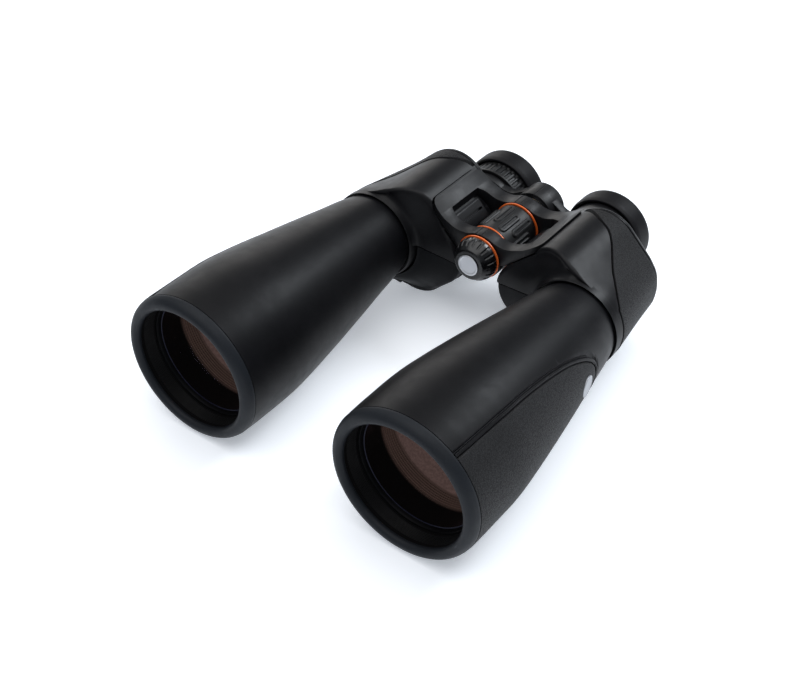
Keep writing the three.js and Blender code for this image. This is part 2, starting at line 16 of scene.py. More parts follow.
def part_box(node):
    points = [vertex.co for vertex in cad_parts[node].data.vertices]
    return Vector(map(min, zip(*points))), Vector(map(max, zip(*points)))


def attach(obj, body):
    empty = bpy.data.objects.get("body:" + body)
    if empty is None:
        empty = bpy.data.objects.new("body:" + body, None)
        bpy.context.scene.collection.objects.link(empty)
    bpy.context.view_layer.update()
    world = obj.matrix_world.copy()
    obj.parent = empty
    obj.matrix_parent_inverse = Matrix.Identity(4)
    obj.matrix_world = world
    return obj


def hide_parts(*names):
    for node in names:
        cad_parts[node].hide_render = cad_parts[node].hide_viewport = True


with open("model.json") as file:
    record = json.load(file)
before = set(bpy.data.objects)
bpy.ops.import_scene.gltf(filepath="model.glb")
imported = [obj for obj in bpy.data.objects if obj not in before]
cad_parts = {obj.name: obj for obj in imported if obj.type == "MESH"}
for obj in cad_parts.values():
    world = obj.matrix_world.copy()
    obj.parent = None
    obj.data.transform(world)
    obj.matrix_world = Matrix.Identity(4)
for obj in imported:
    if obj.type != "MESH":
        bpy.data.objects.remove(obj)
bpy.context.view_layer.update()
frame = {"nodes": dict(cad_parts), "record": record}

# ---------------------------------------------------------------- places taken from the frame

MM = 0.001
BODIES = frame["record"]["behaviour"]["bodies"]
BODY_OF = {node: body for body, nodes in BODIES.items() for node in nodes}


def middle(node):
    low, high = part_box(node)
    return np.array((low + high) / (2 * MM))


def ends(node):
    low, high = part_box(node)
    return low.y / MM - ORIGIN[1], high.y / MM - ORIGIN[1]


RIM_OVERHANG = 2
RIM = middle("left_rim_bumper")
ORIGIN = np.array([0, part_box("left_rim_bumper")[0].y / MM + RIM_OVERHANG, RIM[2]])
OBJECTIVE = (RIM[0], 0)
EYEPIECE = (middle("left_eyecup")[0], middle("left_eyecup")[2] - ORIGIN[2])
HINGE = (0, middle("focus_wheel_core")[2] - ORIGIN[2])

# ---------------------------------------------------------------- outlines


def spline(points, spacing, closed=False):
    """A smooth curve through the points, sampled about every spacing."""
    points = np.array(points, float)
    if closed:
        padded = np.vstack([points[-1], points, points[0], points[1]])
    else:
        padded = np.vstack([2 * points[0] - points[1], points, 2 * points[-1] - points[-2]])
    out = []
    for p0, p1, p2, p3 in zip(padded, padded[1:], padded[2:], padded[3:]):
        count = max(1, round(np.linalg.norm(p2 - p1) / spacing))
        for t in np.arange(count) / count:
            out.append(0.5 * (2 * p1 + (p2 - p0) * t + (2 * p0 - 5 * p1 + 4 * p2 - p3) * t ** 2
                              + (3 * p1 - p0 - 3 * p2 + p3) * t ** 3))
    if not closed:
        out.append(points[-1])
    return np.array(out)


def rounded(corners, radius, steps=4):
    """A closed outline with every corner rounded. A corner's third number is its own radius."""
    points = [np.array(corner[:2], float) for corner in corners]
    out = []
    for i, corner in enumerate(corners):
        wanted = corner[2] if len(corner) > 2 else radius
        before, here, after = points[i - 1], points[i], points[(i + 1) % len(points)]
        reach = min(wanted, 0.48 * np.linalg.norm(before - here), 0.48 * np.linalg.norm(after - here))
        if reach < 0.01:
            out.append(here)
            continue
        start = here + reach * (before - here) / np.linalg.norm(before - here)
        end = here + reach * (after - here) / np.linalg.norm(after - here)
        for t in np.arange(steps + 1) / steps:
            out.append((1 - t) ** 2 * start + 2 * t * (1 - t) * here + t ** 2 * end)
    return np.array(out)


def subdivided(outline, spacing, closed=True):
    """An outline with its long stretches cut to the spacing."""
    out = []
    for here, after in zip(outline, np.roll(outline, -1, axis=0) if closed else outline[1:]):
        count = max(1, math.ceil(np.linalg.norm(after - here) / spacing))
        out.extend(here + (after - here) * i / count for i in range(count))
    return np.array(out if closed else [*out, outline[-1]])


def box_outline(a0, a1, b0, b1):
    return [(a0, b0), (a1, b0), (a1, b1), (a0, b1)]


def ring_profile(inner, outer, y0, y1, edge=0.3):
    return rounded(box_outline(inner, outer, y0, y1), edge)


def disc_profile(radius, y0, y1):
    return box_outline(0, radius, y0, y1)


def smooth_through(x, table):
    """A smooth value at x from a table of (x, value) pairs."""
    xs, ys = np.array(table, float).T
    slopes = np.gradient(ys, xs)
    x = np.clip(x, xs[0], xs[-1])
    i = np.clip(np.searchsorted(xs, x) - 1, 0, len(xs) - 2)
    width = xs[i + 1] - xs[i]
    t = (x - xs[i]) / width
    return ((1 + 2 * t) * (1 - t) ** 2 * ys[i] + t * (1 - t) ** 2 * width * slopes[i]
            + t ** 2 * (3 - 2 * t) * ys[i + 1] + t ** 2 * (t - 1) * width * slopes[i + 1])


def step(low, high, x):
    t = np.clip((x - low) / (high - low), 0, 1)
    return t * t * (3 - 2 * t)


# ---------------------------------------------------------------- meshes


def new_object(name, data):
    obj = bpy.data.objects.new(name, data)
    bpy.context.scene.collection.objects.link(obj)
    return obj


def build(name, points, faces):
    mesh = bpy.data.meshes.new(name)
    mesh.from_pydata(((np.asarray(points) + ORIGIN) * MM).tolist(), [], faces)
    body = bmesh.new()
    body.from_mesh(mesh)
    bmesh.ops.remove_doubles(body, verts=body.verts, dist=1e-7)
    bmesh.ops.recalc_face_normals(body, faces=body.faces)
    body.to_mesh(mesh)
    body.free()
    return new_object(name, mesh)


def grid_faces(rows, columns, wrap_rows, wrap_columns):
    r = np.arange(rows if wrap_rows else rows - 1)[:, None]
    c = np.arange(columns if wrap_columns else columns - 1)[None, :]
    r1, c1 = (r + 1) % rows, (c + 1) % columns
    quads = np.stack([r * columns + c, r * columns + c1, r1 * columns + c1, r1 * columns + c], -1)
    return quads.reshape(-1, 4).tolist()


def grid(name, points, wrap_rows=True, wrap_columns=True):
    rows, columns = points.shape[:2]
    return build(name, points.reshape(-1, 3), grid_faces(rows, columns, wrap_rows, wrap_columns))


def full_turn(steps):
    return np.arange(steps) * 2 * math.pi / steps


def turned(name, profile, axis, steps=144, relief=None):
    """A (radius, y) profile turned about an axis parallel to Y. relief changes the radii."""
    profile = np.array(profile, float)
    radius = np.repeat(profile[:, 0:1], steps, axis=1)
    y = np.repeat(profile[:, 1:2], steps, axis=1)
    angles = np.repeat(full_turn(steps)[None, :], len(profile), axis=0)
    if relief is not None:
        radius = relief(angles, radius, y)
    points = np.stack([axis[0] + radius * np.cos(angles), y, axis[1] + radius * np.sin(angles)], -1)
    return grid(name, points, wrap_rows=profile[0, 0] > 0)


def extruded(name, outline, low, high, basis):
    """An outline of (a, b) points pushed from low to high along the basis's third direction."""
    outline = np.array(outline, float)
    a, b, c, at = (np.array(v, float) for v in basis)
    flat = at + outline[:, 0:1] * a + outline[:, 1:2] * b
    count = len(outline)
    points = np.vstack([flat + low * c, flat + high * c])
    faces = [list(range(count)), list(range(count, 2 * count))[::-1]]
    faces += [[i, (i + 1) % count, count + (i + 1) % count, count + i] for i in range(count)]
    return build(name, points, faces)


ZERO = (0, 0, 0)
PLAN = ((1, 0, 0), (0, 1, 0), (0, 0, 1), ZERO)
ACROSS = ((1, 0, 0), (0, 0, 1), (0, 1, 0), ZERO)


def apply_modifiers(obj):
    graph = bpy.context.evaluated_depsgraph_get()
    mesh = bpy.data.meshes.new_from_object(obj.evaluated_get(graph))
    obj.modifiers.clear()
    old = obj.data
    obj.data = mesh
    bpy.data.meshes.remove(old)
    return obj


def discard(*objects):
    for obj in objects:
        mesh = obj.data
        bpy.data.objects.remove(obj)
        bpy.data.meshes.remove(mesh)


def combine(target, operation, *others):
    """Joins, cuts or intersects target with the others, which are used up."""
    for other in others:
        modifier = target.modifiers.new("combine", "BOOLEAN")
        modifier.solver = "MANIFOLD"
        modifier.operation = operation
        modifier.object = other
        apply_modifiers(target)
        discard(other)
    return target


def soften(obj, width, segments=2, angle=38):
    """Rounds the sharp edges."""
    modifier = obj.modifiers.new("edges", "BEVEL")
    modifier.width = width * MM
    modifier.segments = segments
    modifier.limit_method = "ANGLE"
    modifier.angle_limit = math.radians(angle)
    return apply_modifiers(obj)


def clean(obj):
    """Welds what a cut leaves closer together than 2 hundredths of a millimetre."""
    body = bmesh.new()
    body.from_mesh(obj.data)
    bmesh.ops.remove_doubles(body, verts=body.verts, dist=0.02 * MM)
    bmesh.ops.dissolve_degenerate(body, edges=body.edges, dist=1e-6)
    body.to_mesh(obj.data)
    body.free()
    return obj


def stand_for(obj, node, material, angle=32):
    """Makes obj the shown piece of one CAD node, smooth except at edges sharper than the angle."""
    obj.data.shade_smooth()
    obj.data.set_sharp_from_angle(angle=math.radians(angle))
    obj.name = node + "_look"
    obj.data.name = obj.name
    if obj.data.materials:
        obj.data.materials[0] = material
    else:
        obj.data.materials.append(material)
    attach(obj, BODY_OF[node])
    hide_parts(node)


def paint(obj, base, second, chosen):
    """Two materials: the second, which paints light or shade, on the faces that chosen(middle, normal)
    picks, in drawing coordinates.
    """
    obj.data.materials.append(base)
    obj.data.materials.append(second)
    for face in obj.data.polygons:
        if chosen(np.array(face.center) / MM - ORIGIN, face.normal):
            face.material_index = len(obj.data.materials) - 1


def mirrored(obj):
    copy = new_object(obj.name + "_copy", obj.data.copy())
    copy.data.transform(Matrix.Scale(-1, 4, Vector((1, 0, 0))))
    copy.data.flip_normals()
    return copy


def moved_across(obj):
    other = mirrored(obj)
    discard(obj)
    return other


def stand_for_both(obj, name, material, angle=32):
    other = mirrored(obj)
    stand_for(obj, "left_" + name, material, angle)
    stand_for(other, "right_" + name, material, angle)


# ---------------------------------------------------------------- materials


class Nodes:
    """A material's node tree, with short calls for the nodes that the finishes use."""

    def __init__(self, name):
        self.material = bpy.data.materials.new(name)
        self.material.use_nodes = True
        self.tree = self.material.node_tree
        self.shader = self.tree.nodes["Principled BSDF"]
        self.output = self.tree.nodes["Material Output"]
        self.place = self.add("ShaderNodeTexCoord").outputs["Object"]

    def add(self, kind, **settings):
        node = self.tree.nodes.new(kind)
        for key, value in settings.items():
            setattr(node, key, value)
        return node

    def link(self, source, target):
        self.tree.links.new(source, target)

    def feed(self, socket, value):
        """Links a node's output to the main shader, or sets a plain value there."""
        target = self.shader.inputs[socket]
        if isinstance(value, (int, float, tuple)):
            target.default_value = value
        else:
            self.link(value, target)

    def noise(self, size_mm, detail=3.0, roughness=0.55, stretch=None):
        node = self.add("ShaderNodeTexNoise")
        node.inputs["Scale"].default_value = 1000 / size_mm
        node.inputs["Detail"].default_value = detail
        node.inputs["Roughness"].default_value = roughness
        self.link(self.stretched(stretch) if stretch else self.place, node.inputs["Vector"])
        return node.outputs["Fac"]

    def stretched(self, factors):
        node = self.add("ShaderNodeMapping")
        node.inputs["Scale"].default_value = factors
        self.link(self.place, node.inputs["Vector"])
        return node.outputs["Vector"]

    def cells(self, size_mm):
        node = self.add("ShaderNodeTexVoronoi", feature="SMOOTH_F1")
        node.inputs["Scale"].default_value = 1000 / size_mm
        self.link(self.place, node.inputs["Vector"])
        return node.outputs["Distance"]

    def remap(self, value, low, high, to_low, to_high):
        node = self.add("ShaderNodeMapRange")
        limits = {"From Min": low, "From Max": high, "To Min": to_low, "To Max": to_high}
        for socket, number in limits.items():
            node.inputs[socket].default_value = number
        self.link(value, node.inputs["Value"])
        return node.outputs["Result"]

    def mix(self, factor, first, second):
        node = self.add("ShaderNodeMix", data_type="RGBA")
        self.link(factor, node.inputs[0])
        for socket, value in ((6, first), (7, second)):
            if isinstance(value, tuple):
                node.inputs[socket].default_value = (*value, 1)
            else:
                self.link(value, node.inputs[socket])
        return node.outputs[2]

    def bump(self, height, depth_mm, before=None):
        node = self.add("ShaderNodeBump")
        node.inputs["Distance"].default_value = depth_mm * MM
        self.link(height, node.inputs["Height"])
        if before is not None:
            self.link(before, node.inputs["Normal"])
        return node.outputs["Normal"]


def moulded(name, dark, light, rough, spread, grain_mm=0.35, grain_depth=0.012, specular=0.5,
            worn=(0.06, 0.06, 0.062)):
    """Moulded rubber or plastic: a cloudy tone, a fine grain, uneven gloss and rubbed edges."""
    nodes = Nodes(name)
    cloud = nodes.remap(nodes.noise(26, 4), 0.35, 0.68, 0, 1)
    tone = nodes.mix(cloud, dark, light)
    speck = nodes.remap(nodes.noise(1.1, 2), 0.55, 0.75, 0, 0.35)
    tone = nodes.mix(speck, tone, tuple(1.35 * c for c in light))
    edge = nodes.add("ShaderNodeNewGeometry").outputs["Pointiness"]
    rub = nodes.remap(edge, 0.53, 0.64, 0, 0.5)
    tone = nodes.mix(rub, tone, worn)
    nodes.feed("Base Color", tone)
    gloss = nodes.remap(nodes.noise(7, 5, 0.6), 0.3, 0.72, rough - spread, rough + spread)
    nodes.feed("Roughness", gloss)
    nodes.feed("Specular IOR Level", specular)
    nodes.feed("Normal", nodes.bump(nodes.noise(grain_mm, 2), grain_depth))
    return nodes.material


def stippled(name, pit_shade, dark, light, rough, size_mm, depth):
    """Moulded rubber with a coarse stipple: pale tops, and painted shade in the pits between them."""
    nodes = Nodes(name)
    tops = nodes.remap(nodes.cells(size_mm), 0.15, 0.62, 1, 0)
    cloud = nodes.remap(nodes.noise(14, 4), 0.35, 0.68, 0, 1)
    # the pits get a darker colour: painted shade in the hollows
    nodes.feed("Base Color", nodes.mix(tops, pit_shade, nodes.mix(cloud, dark, light)))
    nodes.feed("Roughness", nodes.remap(tops, 0, 1, rough + 0.12, rough - 0.05))
    nodes.feed("Specular IOR Level", 0.3)
    grain = nodes.bump(nodes.noise(0.3, 2), 0.01)
    nodes.feed("Normal", nodes.bump(tops, depth, grain))
    return nodes.material


def metal(name, dark, light, rough, grain_mm, stretch=(1, 1, 1), metallic=1.0, depth=0.006):
    """Turned or cast metal, with tool lines along the stretched direction."""
    nodes = Nodes(name)
    lines = nodes.noise(grain_mm, 3, 0.6, stretch)
    nodes.feed("Base Color", nodes.mix(lines, dark, light))
    nodes.feed("Roughness", nodes.remap(lines, 0.3, 0.7, rough - 0.07, rough + 0.07))
    nodes.feed("Metallic", metallic)
    nodes.feed("Normal", nodes.bump(lines, depth))
    return nodes.material


def coated_glass(name, tint, sheen, rough=0.03):
    """A coated lens: clear, with a reflection in the coating's colour only at a steep slant."""
    nodes = Nodes(name)
    nodes.tree.nodes.remove(nodes.shader)
    through = nodes.add("ShaderNodeBsdfTransparent")
    through.inputs["Color"].default_value = (*tint, 1)
    mirror = nodes.add("ShaderNodeBsdfGlossy")
    smear = nodes.remap(nodes.noise(9, 4), 0.4, 0.75, rough, rough + 0.05)
    nodes.link(smear, mirror.inputs["Roughness"])
    facing = nodes.add("ShaderNodeLayerWeight")
    facing.inputs["Blend"].default_value = 0.35
    colour = nodes.mix(facing.outputs["Facing"], sheen[0], sheen[1])
    nodes.link(colour, mirror.inputs["Color"])
    slant = nodes.add("ShaderNodeLayerWeight")
    slant.inputs["Blend"].default_value = 0.5
    steep = nodes.add("ShaderNodeMath", operation="POWER")
    nodes.link(slant.outputs["Facing"], steep.inputs[0])
    steep.inputs[1].default_value = 5
    blend = nodes.add("ShaderNodeMixShader")
    nodes.link(nodes.remap(steep.outputs["Value"], 0.03, 1, 0, 0.6), blend.inputs["Fac"])
    nodes.link(through.outputs["BSDF"], blend.inputs[1])
    nodes.link(mirror.outputs["BSDF"], blend.inputs[2])
    nodes.link(blend.outputs["Shader"], nodes.output.inputs["Surface"])
    return nodes.material


FADE = 14           # the painted brown glow dies away within this distance of y_dark


def painted_glow_depths(name, black, ringed, brown, y_rings, y_smooth, y_dark, pitch):
    """The tube's inside as painted glow, an emitted tone: black near the lens, then rings with painted
    highlights, then a brownish glow, and black again deep down.
    """
    nodes = Nodes(name)
    parts = nodes.add("ShaderNodeSeparateXYZ")
    nodes.link(nodes.place, parts.inputs["Vector"])
    turns = nodes.add("ShaderNodeMath", operation="MULTIPLY")
    nodes.link(parts.outputs["Y"], turns.inputs[0])
    turns.inputs[1].default_value = 2 * math.pi / (pitch * MM)
    wave = nodes.add("ShaderNodeMath", operation="SINE")
    nodes.link(turns.outputs["Value"], wave.inputs[0])

    def reached(y, blur=1):
        place = y + ORIGIN[1]
        return nodes.remap(parts.outputs["Y"], (place - blur) * MM, (place + blur) * MM, 0, 1)

    # painted highlights on the crests of the rings
    crests = nodes.remap(wave.outputs["Value"], -0.2, 1, 0, 1)
    rings = nodes.mix(crests, ringed, tuple(2 * c for c in ringed))
    # random mottling of the painted brown glow
    glow_mottle = nodes.remap(nodes.noise(1.4, 3), 0.35, 0.75, 0, 1)
    depths = nodes.mix(glow_mottle, brown, tuple(1.5 * c for c in brown))
    tone = nodes.mix(reached(y_smooth), nodes.mix(reached(y_rings), black, rings), depths)
    tone = nodes.mix(reached(y_dark, FADE), tone, black)
    nodes.feed("Base Color", tone)
    # the tone is emitted too, so the inside glows although no lamp lights it
    nodes.feed("Emission Color", tone)
    nodes.feed("Emission Strength", 1)
    nodes.feed("Specular IOR Level", 0.08)
    nodes.feed("Roughness", nodes.remap(nodes.noise(6, 3), 0.3, 0.7, 0.42, 0.55))
    nodes.feed("Normal", nodes.bump(nodes.noise(0.5, 2), 0.003))
    return nodes.material


ARMOUR = moulded("armour_rubber", (0.0034, 0.0034, 0.0042), (0.005, 0.005, 0.0061), 0.42, 0.04,
                 specular=0.12, worn=(0.03, 0.03, 0.032))
HOUSING = moulded("housing_rubber", (0.004, 0.004, 0.0048), (0.0056, 0.0056, 0.0067), 0.4, 0.04,
                  specular=0.16, worn=(0.03, 0.03, 0.032))
# a bluer rubber than the armour, also made lighter: partly its own colour and partly painted light from
# the front
RIM_LIT_RUBBER = moulded("rim_rubber_partly_lit", (0.0068, 0.0086, 0.0118), (0.0086, 0.0108, 0.0146), 0.55, 0.05,
                     specular=0.2, worn=(0.035, 0.04, 0.048))
# the first colour is painted shade for the stipple's pits
TEXTURED = stippled("textured_rubber", (0.0018, 0.0018, 0.0023), (0.0056, 0.0056, 0.0067),
                    (0.0083, 0.0083, 0.0098), 0.62, 0.6, 0.1)
COVER = moulded("cover_plastic", (0.0026, 0.003, 0.004), (0.0036, 0.0042, 0.0054), 0.45, 0.05,
                specular=0.07, worn=(0.02, 0.02, 0.024))
FRAME = moulded("frame_paint", (0.0045, 0.0045, 0.0053), (0.0062, 0.0062, 0.0073), 0.42, 0.05,
                grain_mm=0.25, grain_depth=0.02, specular=0.25, worn=(0.05, 0.05, 0.052))
CUP_RUBBER = moulded("eyecup_rubber", (0.0045, 0.0042, 0.0052), (0.006, 0.0057, 0.0069), 0.5, 0.05,
                     specular=0.12, worn=(0.035, 0.035, 0.037))
RIBBED = moulded("ribbed_rubber", (0.0055, 0.0055, 0.006), (0.0085, 0.0085, 0.0093), 0.45, 0.06,
                 specular=0.3, worn=(0.04, 0.04, 0.042))
PLASTIC = moulded("satin_plastic", (0.0055, 0.0055, 0.0062), (0.008, 0.008, 0.009), 0.36, 0.06,
                  specular=0.3, worn=(0.035, 0.035, 0.037))
GLOSS_BLACK = moulded("gloss_black", (0.0025, 0.0025, 0.003), (0.004, 0.004, 0.0045), 0.27, 0.04,
                      grain_depth=0.002, worn=(0.006, 0.006, 0.0065))
# painted shade, for deep joints and walls that little light reaches
GROOVE_SHADE = moulded("groove_shadow", (0.001, 0.001, 0.0012), (0.002, 0.002, 0.0022), 0.8, 0.06,
                 specular=0.05, worn=(0.002, 0.002, 0.0022))
ORANGE = moulded("orange_plastic", (0.74, 0.12, 0.02), (0.88, 0.18, 0.035), 0.26, 0.07,
                 grain_depth=0.003, worn=(0.95, 0.4, 0.16))
SILVER = metal("silver_trim", (0.58, 0.59, 0.62), (0.66, 0.67, 0.7), 0.36, 0.4, (1, 1, 6), 0.85, 0.001)
BADGE = metal("badge_metal", (0.3, 0.31, 0.33), (0.38, 0.39, 0.41), 0.42, 0.4, (1, 1, 6), 0.85, 0.001)
BLACK_METAL = metal("black_anodised", (0.005, 0.005, 0.0055), (0.009, 0.009, 0.01), 0.36, 0.9,
                    (1, 7, 1), 0.2, 0.005)
# the tube's inside is painted glow, lit by no lamp
TUBE_GLOW = painted_glow_depths("tube_inside_painted_glow", (0.0012, 0.0012, 0.0013), (0.018, 0.0125, 0.011),
                         (0.056, 0.04, 0.038), 31.5, 41, 68, 1.4)
STEEL = metal("turned_steel", (0.5, 0.51, 0.53), (0.62, 0.63, 0.65), 0.3, 1.0, (1, 9, 1))
BRASS = metal("turned_brass", (0.6, 0.42, 0.18), (0.76, 0.56, 0.28), 0.32, 1.0, (1, 9, 1))
CELL_RING = moulded("cell_ring", (0.0012, 0.0012, 0.0016), (0.0018, 0.0018, 0.0024), 0.5, 0.05,
                    specular=0.08)
# a painted bluish highlight for the lens ring's lip
LIP_HIGHLIGHT = moulded("lens_lip_painted_highlight", (0.003, 0.0034, 0.016), (0.005, 0.0055, 0.022), 0.4, 0.05, specular=0.2)
LENS = coated_glass("objective_glass", (0.93, 0.88, 0.86), ((0.8, 0.62, 0.6), (0.25, 0.28, 0.95)))
EYE_GLASS = coated_glass("eyepiece_glass", (0.88, 0.9, 0.88), ((0.4, 0.75, 0.5), (0.45, 0.4, 0.9)))
PRISM_GLASS = coated_glass("prism_glass", (0.9, 0.93, 0.92), ((0.9, 0.9, 0.9), (0.8, 0.85, 0.95)))

# ---------------------------------------------------------------- objective barrels

WIDEST = 43.6
ARMOUR_FRONT, NECK_Y = 4.7, 159.2
ARMOUR_THICKNESS = 2.6
# The armour's outside, as (y, radius).
BARREL_PROFILE = [(ARMOUR_FRONT, 43.3), (14, WIDEST), (32, WIDEST), (45, 43.1), (60, 41.5), (80, 38.8),
                  (105, 35.0), (130, 30.9), (157, 26.2), (NECK_Y, 25.6)]
PANEL_THICKNESS = 1.2


def barrel_radius(y):
    return smooth_through(y, BARREL_PROFILE)


# The grip panel's upper edge, as (y, height above the objective axis). Its tip is round.
PANEL_EDGE = [(4.7, 33.4), (24, 33.2), (44, 32.2), (64, 29.8), (85, 25.9), (103, 21.4), (116, 16.4),
              (124, 11.6), (128.6, 6.4), (130.4, 0)]


def panel_edge_curve():
    """The edge's upper half as (y, distance round the barrel), from the rim to the tip."""
    both = PANEL_EDGE + [(y, -z) for y, z in PANEL_EDGE[-2::-1]]
    points = spline(both, 0.8)
    upper = points[: len(points) // 2 + 1]
    y, z = upper[:, 0], np.maximum(upper[:, 1], 0)
    return y, barrel_radius(y) * np.arcsin(np.clip(z / barrel_radius(y), 0, 1))


EDGE_Y, EDGE_ARC = panel_edge_curve()
TIP_Y = EDGE_Y.max()


def half_arc(y):
    """The panel's half width round the barrel at y."""
    return np.interp(y, EDGE_Y, EDGE_ARC, right=0)


def edge_distance(y, arc):
    """Distance from the panel's edge, positive outside it."""
    edge = np.column_stack([EDGE_Y, EDGE_ARC])
    flat = np.column_stack([y.ravel(), np.abs(arc).ravel()])
    nearest = np.sqrt(((flat[:, None, :] - edge[None, :, :]) ** 2).sum(-1).min(1)).reshape(y.shape)
    return np.where(np.abs(arc) < half_arc(y), -nearest, nearest)


def barrel_point(y, arc, radius):
    angle = arc / barrel_radius(y)
    x, z = OBJECTIVE[0] + radius * np.cos(angle), OBJECTIVE[1] + radius * np.sin(angle)
    return np.stack([x, y, z], -1)


def barrel_armour():
    """The rubber skin, with a bed for the grip panel, and a groove and a raised band round it."""
    rows = np.concatenate([EDGE_Y, TIP_Y + np.linspace(0.25, 4, 14), np.linspace(TIP_Y + 6, NECK_Y, 14)])
    inside = np.linspace(0, 0.97, 9)
    band = np.concatenate([[-1.0, -0.5], np.linspace(-0.25, 3.6, 28)])
    half = []
    for y in rows:
        edge = half_arc(y)
        around = math.pi * barrel_radius(y)
        if edge > 1.2:
            near = np.maximum(edge + band, 0.0)
        else:
            near = np.linspace(edge * 0.6, edge + 3.6, len(band))
        core = inside * max(near[0], 0.0)
        rest = near[-1] + (around - near[-1]) * np.linspace(0, 1, 40)[1:]
        half.append(np.concatenate([core, near, rest]))
    half = np.array(half)
    arc = np.concatenate([half, -half[:, -2:0:-1]], axis=1)
    y = np.repeat(rows[:, None], arc.shape[1], axis=1)
    away = edge_distance(y, arc)
    bed = -1.45 * (1 - step(-0.35, -0.02, away))
    border = 0.3 * step(0.3, 0.8, away) * (1 - step(1.4, 2.0, away))
    groove = -0.75 * step(1.6, 2.25, away) * (1 - step(2.5, 3.3, away))
    outer = np.minimum(barrel_radius(y) + bed + border + groove, WIDEST)
    inner = barrel_radius(y) - ARMOUR_THICKNESS
    front = barrel_point(y[:1] * 0 + ARMOUR_FRONT, arc[:1], barrel_radius(y[:1]) - 0.4)
    points = np.concatenate([front, barrel_point(y, arc, outer), barrel_point(y, arc, inner)[::-1]])
    return grid("barrel_armour", points)


def barrel_grip_panel():
    """The textured skin, with soft edges, let into the armour."""
    gap = 0.5
    rows = EDGE_Y[:-1]
    share = np.sin(np.linspace(-math.pi / 2, math.pi / 2, 61))
    width = np.maximum(half_arc(rows) - gap, 0.05)
    arc = width[:, None] * share[None, :]
    y = np.repeat(rows[:, None], len(share), axis=1)
    depth = np.clip(-edge_distance(y, arc) - gap, 0, 0.9) / 0.9
    outer = np.minimum(barrel_radius(y) + 0.15 - 0.8 * (1 - depth) ** 2, WIDEST)
    top = barrel_point(y, arc, outer)
    bottom = barrel_point(y, arc, barrel_radius(y) - PANEL_THICKNESS)
    points = np.concatenate([top, bottom[:, ::-1]], axis=1)
    rows_count, columns = points.shape[:2]
    faces = grid_faces(rows_count, columns, False, True)
    faces += [list(range(columns)), list(range((rows_count - 1) * columns, rows_count * columns))]
    return build("barrel_grip_panel", points.reshape(-1, 3), faces)


BADGE_Y, BADGE_RADIUS = 118.5, 6.2


def badge_axes():
    """Directions along, across and out of the barrel at the badge, and its centre."""
    slope = (barrel_radius(BADGE_Y - 6) - barrel_radius(BADGE_Y + 6)) / 12
    out = np.array([1, slope, 0]) / math.hypot(1, slope)
    along = np.array([-slope, 1, 0]) / math.hypot(1, slope)
    centre = np.array([OBJECTIVE[0] + barrel_radius(BADGE_Y), BADGE_Y, 0])
    return along, np.array([0, 0, 1.0]), out, centre


def badge_disc(name, profile, steps=72):
    """A (radius, height) profile turned about the badge's axis."""
    along, across, out, at = badge_axes()
    profile = np.array(profile, float)
    angle = full_turn(steps)[:, None]
    around = np.cos(angle) * along + np.sin(angle) * across
    points = at + profile[:, 0, None, None] * around + profile[:, 1, None, None] * out
    return grid(name, points, wrap_rows=False)


def on_cell_lip(at, normal):
    """The sloping lip of the lens ring, which is given a painted bluish highlight."""
    radius = math.hypot(at[0] - OBJECTIVE[0], at[2] - OBJECTIVE[1])
    return radius < 34.2 and normal.y < -0.5 and at[1] > 14.5


def make_barrels():
    rim = rounded([(36, 0.4, 0.6), (36.9, -1.2, 1.2), (38.4, -2, 1.4), (40.6, -1.6, 1.6),
                   (42.5, 0.4, 2.0), (43.3, 3.2, 1.2), (43.3, 4.4, 0.2), (37.3, 4.4, 0.2),
                   (37.3, 1.8, 0.2), (36, 1.8, 0.2)], 0.5, 5)
    # the rim's lighter bluish colour is partly painted front light
    stand_for_both(turned("rim", rim, OBJECTIVE, 192), "rim_bumper", RIM_LIT_RUBBER, 50)
    stand_for_both(barrel_armour(), "barrel_armour", ARMOUR, 45)
    hole = badge_disc("hole", disc_profile(BADGE_RADIUS + 0.25, -4, 4))
    stand_for_both(combine(barrel_grip_panel(), "DIFFERENCE", hole), "barrel_grip_panel", TEXTURED, 45)
    badge = rounded([(0, -0.7, 0), (BADGE_RADIUS, -0.7, 0.1), (BADGE_RADIUS, 0.2, 0.3),
                     (5.6, 0.42, 0.2), (5.2, 0.3, 0.15), (0, 0.3, 0)], 0.2)
    stand_for_both(badge_disc("badge", badge), "barrel_badge", BADGE)
    cell = rounded([(34.9, 12.2, 0.3), (36, 12.2, 0.3), (36, 15.2, 0.3), (33.6, 15.2, 0.1),
                    (33.6, 14.9, 0.05), (34.1, 14.7, 0.05), (34.4, 13.4, 0.1)], 0.2)
    cell_ring = turned("lens_ring", cell, OBJECTIVE, 192)
    # the lip gets the painted highlight, the rest of the ring stays black
    paint(cell_ring, CELL_RING, LIP_HIGHLIGHT, on_cell_lip)
    stand_for_both(cell_ring, "lens_ring", CELL_RING)
    stand_for_both(lens("lens", OBJECTIVE, 35.6, 16, 23, 3.6, 2.4), "objective_lens", LENS, 60)
    # the insides of the tube and baffle carry the painted glow
    stand_for_both(objective_tube(), "objective_tube", TUBE_GLOW, 20)
    stand_for_both(baffle(), "baffle_tube", TUBE_GLOW, 20)


def lens(name, axis, radius, edge_front, edge_rear, rise_front, rise_rear, steps=24):
    share = np.linspace(0, 1, steps)
    front = np.column_stack([radius * share, edge_front - rise_front * (1 - share ** 2)])
    rear = np.column_stack([radius * share, edge_rear + rise_rear * (1 - share ** 2)])[::-1]
    return turned(name, np.vstack([front, rear]), axis)


